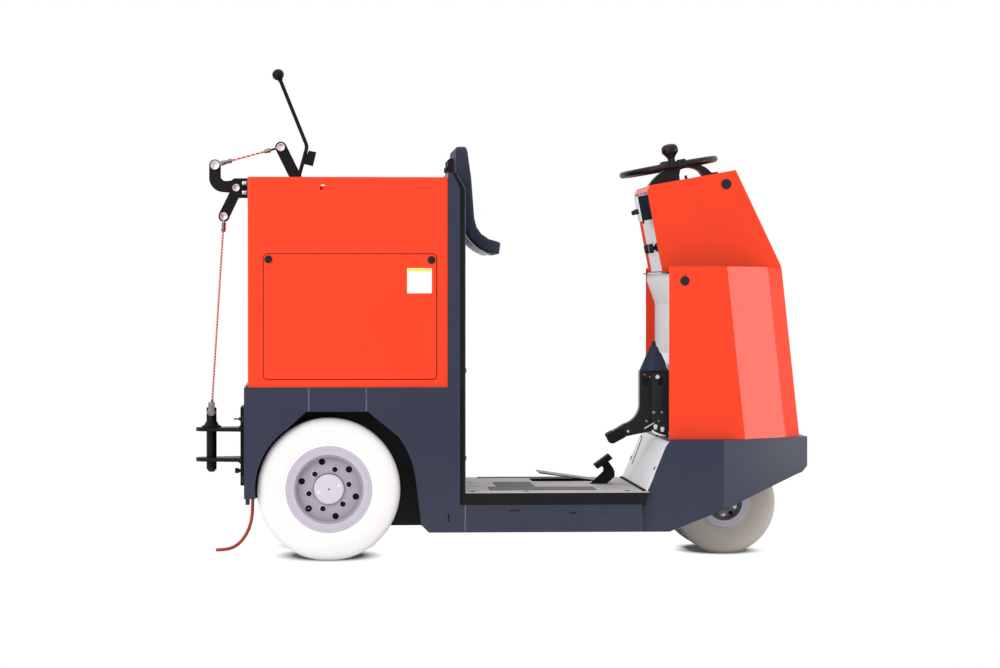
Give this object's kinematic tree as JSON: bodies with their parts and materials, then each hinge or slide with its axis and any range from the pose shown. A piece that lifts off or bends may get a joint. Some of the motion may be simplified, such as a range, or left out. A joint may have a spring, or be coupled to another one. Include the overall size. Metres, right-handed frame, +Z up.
{
  "type": "stand-on tow tractor",
  "caption": "Stand-on electric tow tractor with side entry deck, lean pad, tiller-height steering wheel and lever-released tow pin",
  "frame": {"origin": "centre of the bounding box's underside, on the floor", "axes": "X forward in the direction of travel, Y to the operator's left, Z up"},
  "size_m": [1.857, 0.8, 1.4742],
  "materials": {
    "orange_paint": "smooth semi-gloss powder coat",
    "slate_paint": "dark blue-grey fine-texture powder coat",
    "black_paint": "satin black paint",
    "light_paint": "pale grey paint",
    "deck_paint": "warm pale grey paint, slightly worn",
    "rim_paint": "silver-grey enamel",
    "pale_tyre": "non-marking pale rubber, matt",
    "tan_tyre": "non-marking grey-tan rubber, matt",
    "black_rubber": "ribbed matt rubber",
    "slate_foam": "self-skinned moulded foam, fine grain",
    "black_plastic": "satin moulded plastic",
    "bright_steel": "zinc-plated steel",
    "dark_iron": "painted casting",
    "battery_case": "moulded battery tray",
    "strap_red": "conductive strap"
  },
  "bodies": {
    "chassis": {"side_frame_right": "slate_paint", "side_frame_left": "slate_paint", "rear_plate": "slate_paint", "under_frame": "black_paint", "battery_block": "battery_case", "battery_box": "orange_paint", "tray_pan": "orange_paint", "back_panel": "slate_paint", "back_board": "black_paint", "lean_pad": "slate_foam", "pad_plate": "bright_steel", "pad_clamps": "bright_steel", "deck_frame": "black_paint", "deck_plate": "deck_paint", "tread_pads": "deck_paint", "presence_pedal": "black_plastic", "floor_pedal": "black_rubber", "lower_cowl": "slate_paint", "front_frame": "black_paint", "bulkhead": "black_paint", "toe_board": "light_paint", "front_cowl": "orange_paint", "cowl_panel": "light_paint", "console_shelf": "black_paint", "console": "orange_paint", "console_face": "light_paint", "control_box": "black_plastic", "push_buttons": "black_plastic", "steering_column": "black_plastic", "grab_arch": "black_plastic", "pedal_housing": "slate_paint", "hanging_pedal": "black_plastic", "rear_axle": "dark_iron", "drive_motor": "dark_iron", "hitch_jaws": "black_paint", "lever_bracket": "black_paint", "crank_bracket": "black_paint", "ground_strap": "strap_red"},
    "right_rear_wheel": {"rear_tyre_right": "pale_tyre", "rear_rim_right": "rim_paint"},
    "left_rear_wheel": {"rear_tyre_left": "pale_tyre", "rear_rim_left": "rim_paint"},
    "steer_yoke": {"steering_yoke": "black_paint"},
    "front_wheels": {"front_tyres": "tan_tyre", "front_rims": "rim_paint"},
    "hand_wheel": {"steering_wheel": "black_plastic"},
    "right_cover": {"side_cover_right": "orange_paint"},
    "left_cover": {"side_cover_left": "orange_paint"},
    "tow_pin": {"hitch_pin": "black_paint"},
    "lever": {"release_lever": "black_paint"},
    "crank": {"bellcrank": "black_paint"},
    "top_link": {"upper_link": "bright_steel"},
    "drop_link": {"lower_link": "bright_steel"}
  },
  "joints": [
    {"name": "right_rear_wheel_spin", "type": "hinge", "parent": "chassis", "child": "right_rear_wheel", "pos_m": [-0.526, -0.332, 0.211], "axis": [0, 1, 0], "continuous": true},
    {"name": "left_rear_wheel_spin", "type": "hinge", "parent": "chassis", "child": "left_rear_wheel", "pos_m": [-0.526, 0.332, 0.211], "axis": [0, 1, 0], "continuous": true},
    {"name": "steering", "type": "hinge", "parent": "chassis", "child": "steer_yoke", "pos_m": [0.672, 0, 0.34], "axis": [0, 0, 1], "range_deg": [-75, 75]},
    {"name": "front_wheels_spin", "type": "hinge", "parent": "steer_yoke", "child": "front_wheels", "pos_m": [0.672, 0, 0.155], "axis": [0, 1, 0], "continuous": true},
    {"name": "hand_wheel_turn", "type": "hinge", "parent": "chassis", "child": "hand_wheel", "pos_m": [0.521, 0, 1.177], "axis": [-0.1771, 0, 0.9842], "range_deg": [-450, 450]},
    {"name": "right_cover_hinge", "type": "hinge", "parent": "chassis", "child": "right_cover", "pos_m": [-0.4635, -0.39715, 0.53884], "axis": [1, 0, 0], "range_deg": [0, 90]},
    {"name": "left_cover_hinge", "type": "hinge", "parent": "chassis", "child": "left_cover", "pos_m": [-0.4635, 0.39715, 0.53884], "axis": [-1, 0, 0], "range_deg": [0, 90]},
    {"name": "tow_pin_lift", "type": "slide", "parent": "chassis", "child": "tow_pin", "axis": [0, 0, 1], "range_m": [0, 0.04423]},
    {"name": "lever_swing", "type": "hinge", "parent": "chassis", "child": "lever", "pos_m": [-0.595, 0.004, 1.085], "axis": [0, 1, 0], "range_deg": [0, 25]},
    {"name": "crank_swing", "type": "hinge", "parent": "chassis", "child": "crank", "pos_m": [-0.805, 0.004, 1.111], "axis": [0, 1, 0], "range_deg": [0, 43.09]},
    {"name": "top_link_pivot", "type": "hinge", "parent": "lever", "child": "top_link", "pos_m": [-0.669, -0.0036, 1.235], "axis": [0, 1, 0], "range_deg": [-22.68, 0]},
    {"name": "drop_link_pivot", "type": "hinge", "parent": "crank", "child": "drop_link", "pos_m": [-0.8425, -0.0036, 1.024], "axis": [0, 1, 0], "range_deg": [-47.94, 0]}
  ],
  "couplings": [
    {"joint": "hand_wheel_turn", "follows": "steering", "ratio": 6},
    {"joint": "crank_swing", "follows": "lever_swing", "ratio": 1.7234},
    {"joint": "top_link_pivot", "follows": "lever_swing", "ratio": -0.9072},
    {"joint": "drop_link_pivot", "follows": "lever_swing", "ratio": -1.9176},
    {"joint": "tow_pin_lift", "follows": "lever_swing", "m_per_rad": 0.10137}
  ]
}
